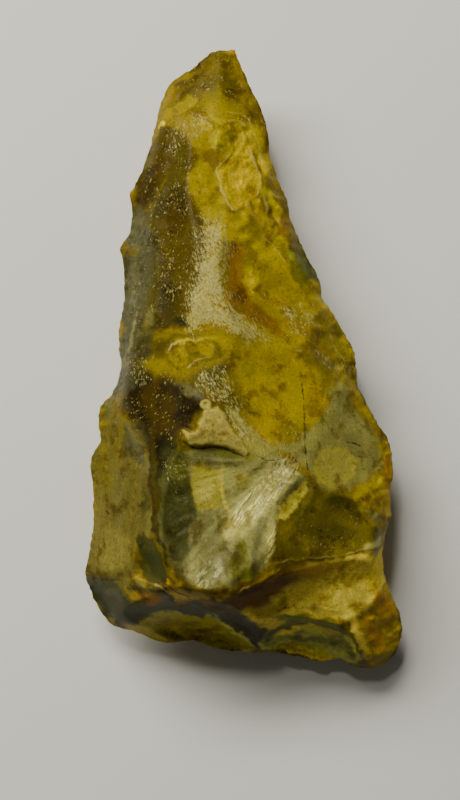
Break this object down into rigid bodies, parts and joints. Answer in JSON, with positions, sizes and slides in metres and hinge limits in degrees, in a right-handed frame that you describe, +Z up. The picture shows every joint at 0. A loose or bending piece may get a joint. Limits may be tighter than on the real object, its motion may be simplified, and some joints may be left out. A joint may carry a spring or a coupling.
{
  "type": "stone hand axe",
  "caption": "Pointed hand axe of flaked flint with a sinuous struck edge, a tapering tip and a thick butt, lying on its flatter side.",
  "frame": {"origin": "centre of the bounding box's bottom, on the surface the axe lies on", "axes": "+Y from the butt to the tip, +X to the right as seen from above with the tip away, +Z up"},
  "size_m": [0.1065, 0.208, 0.054],
  "materials": {
    "flint": "glossy mottled ochre, olive and dark brown flint with patches of matte tan cortex"
  },
  "bodies": {
    "root": {"hand_axe": "flint"}
  },
  "joints": []
}
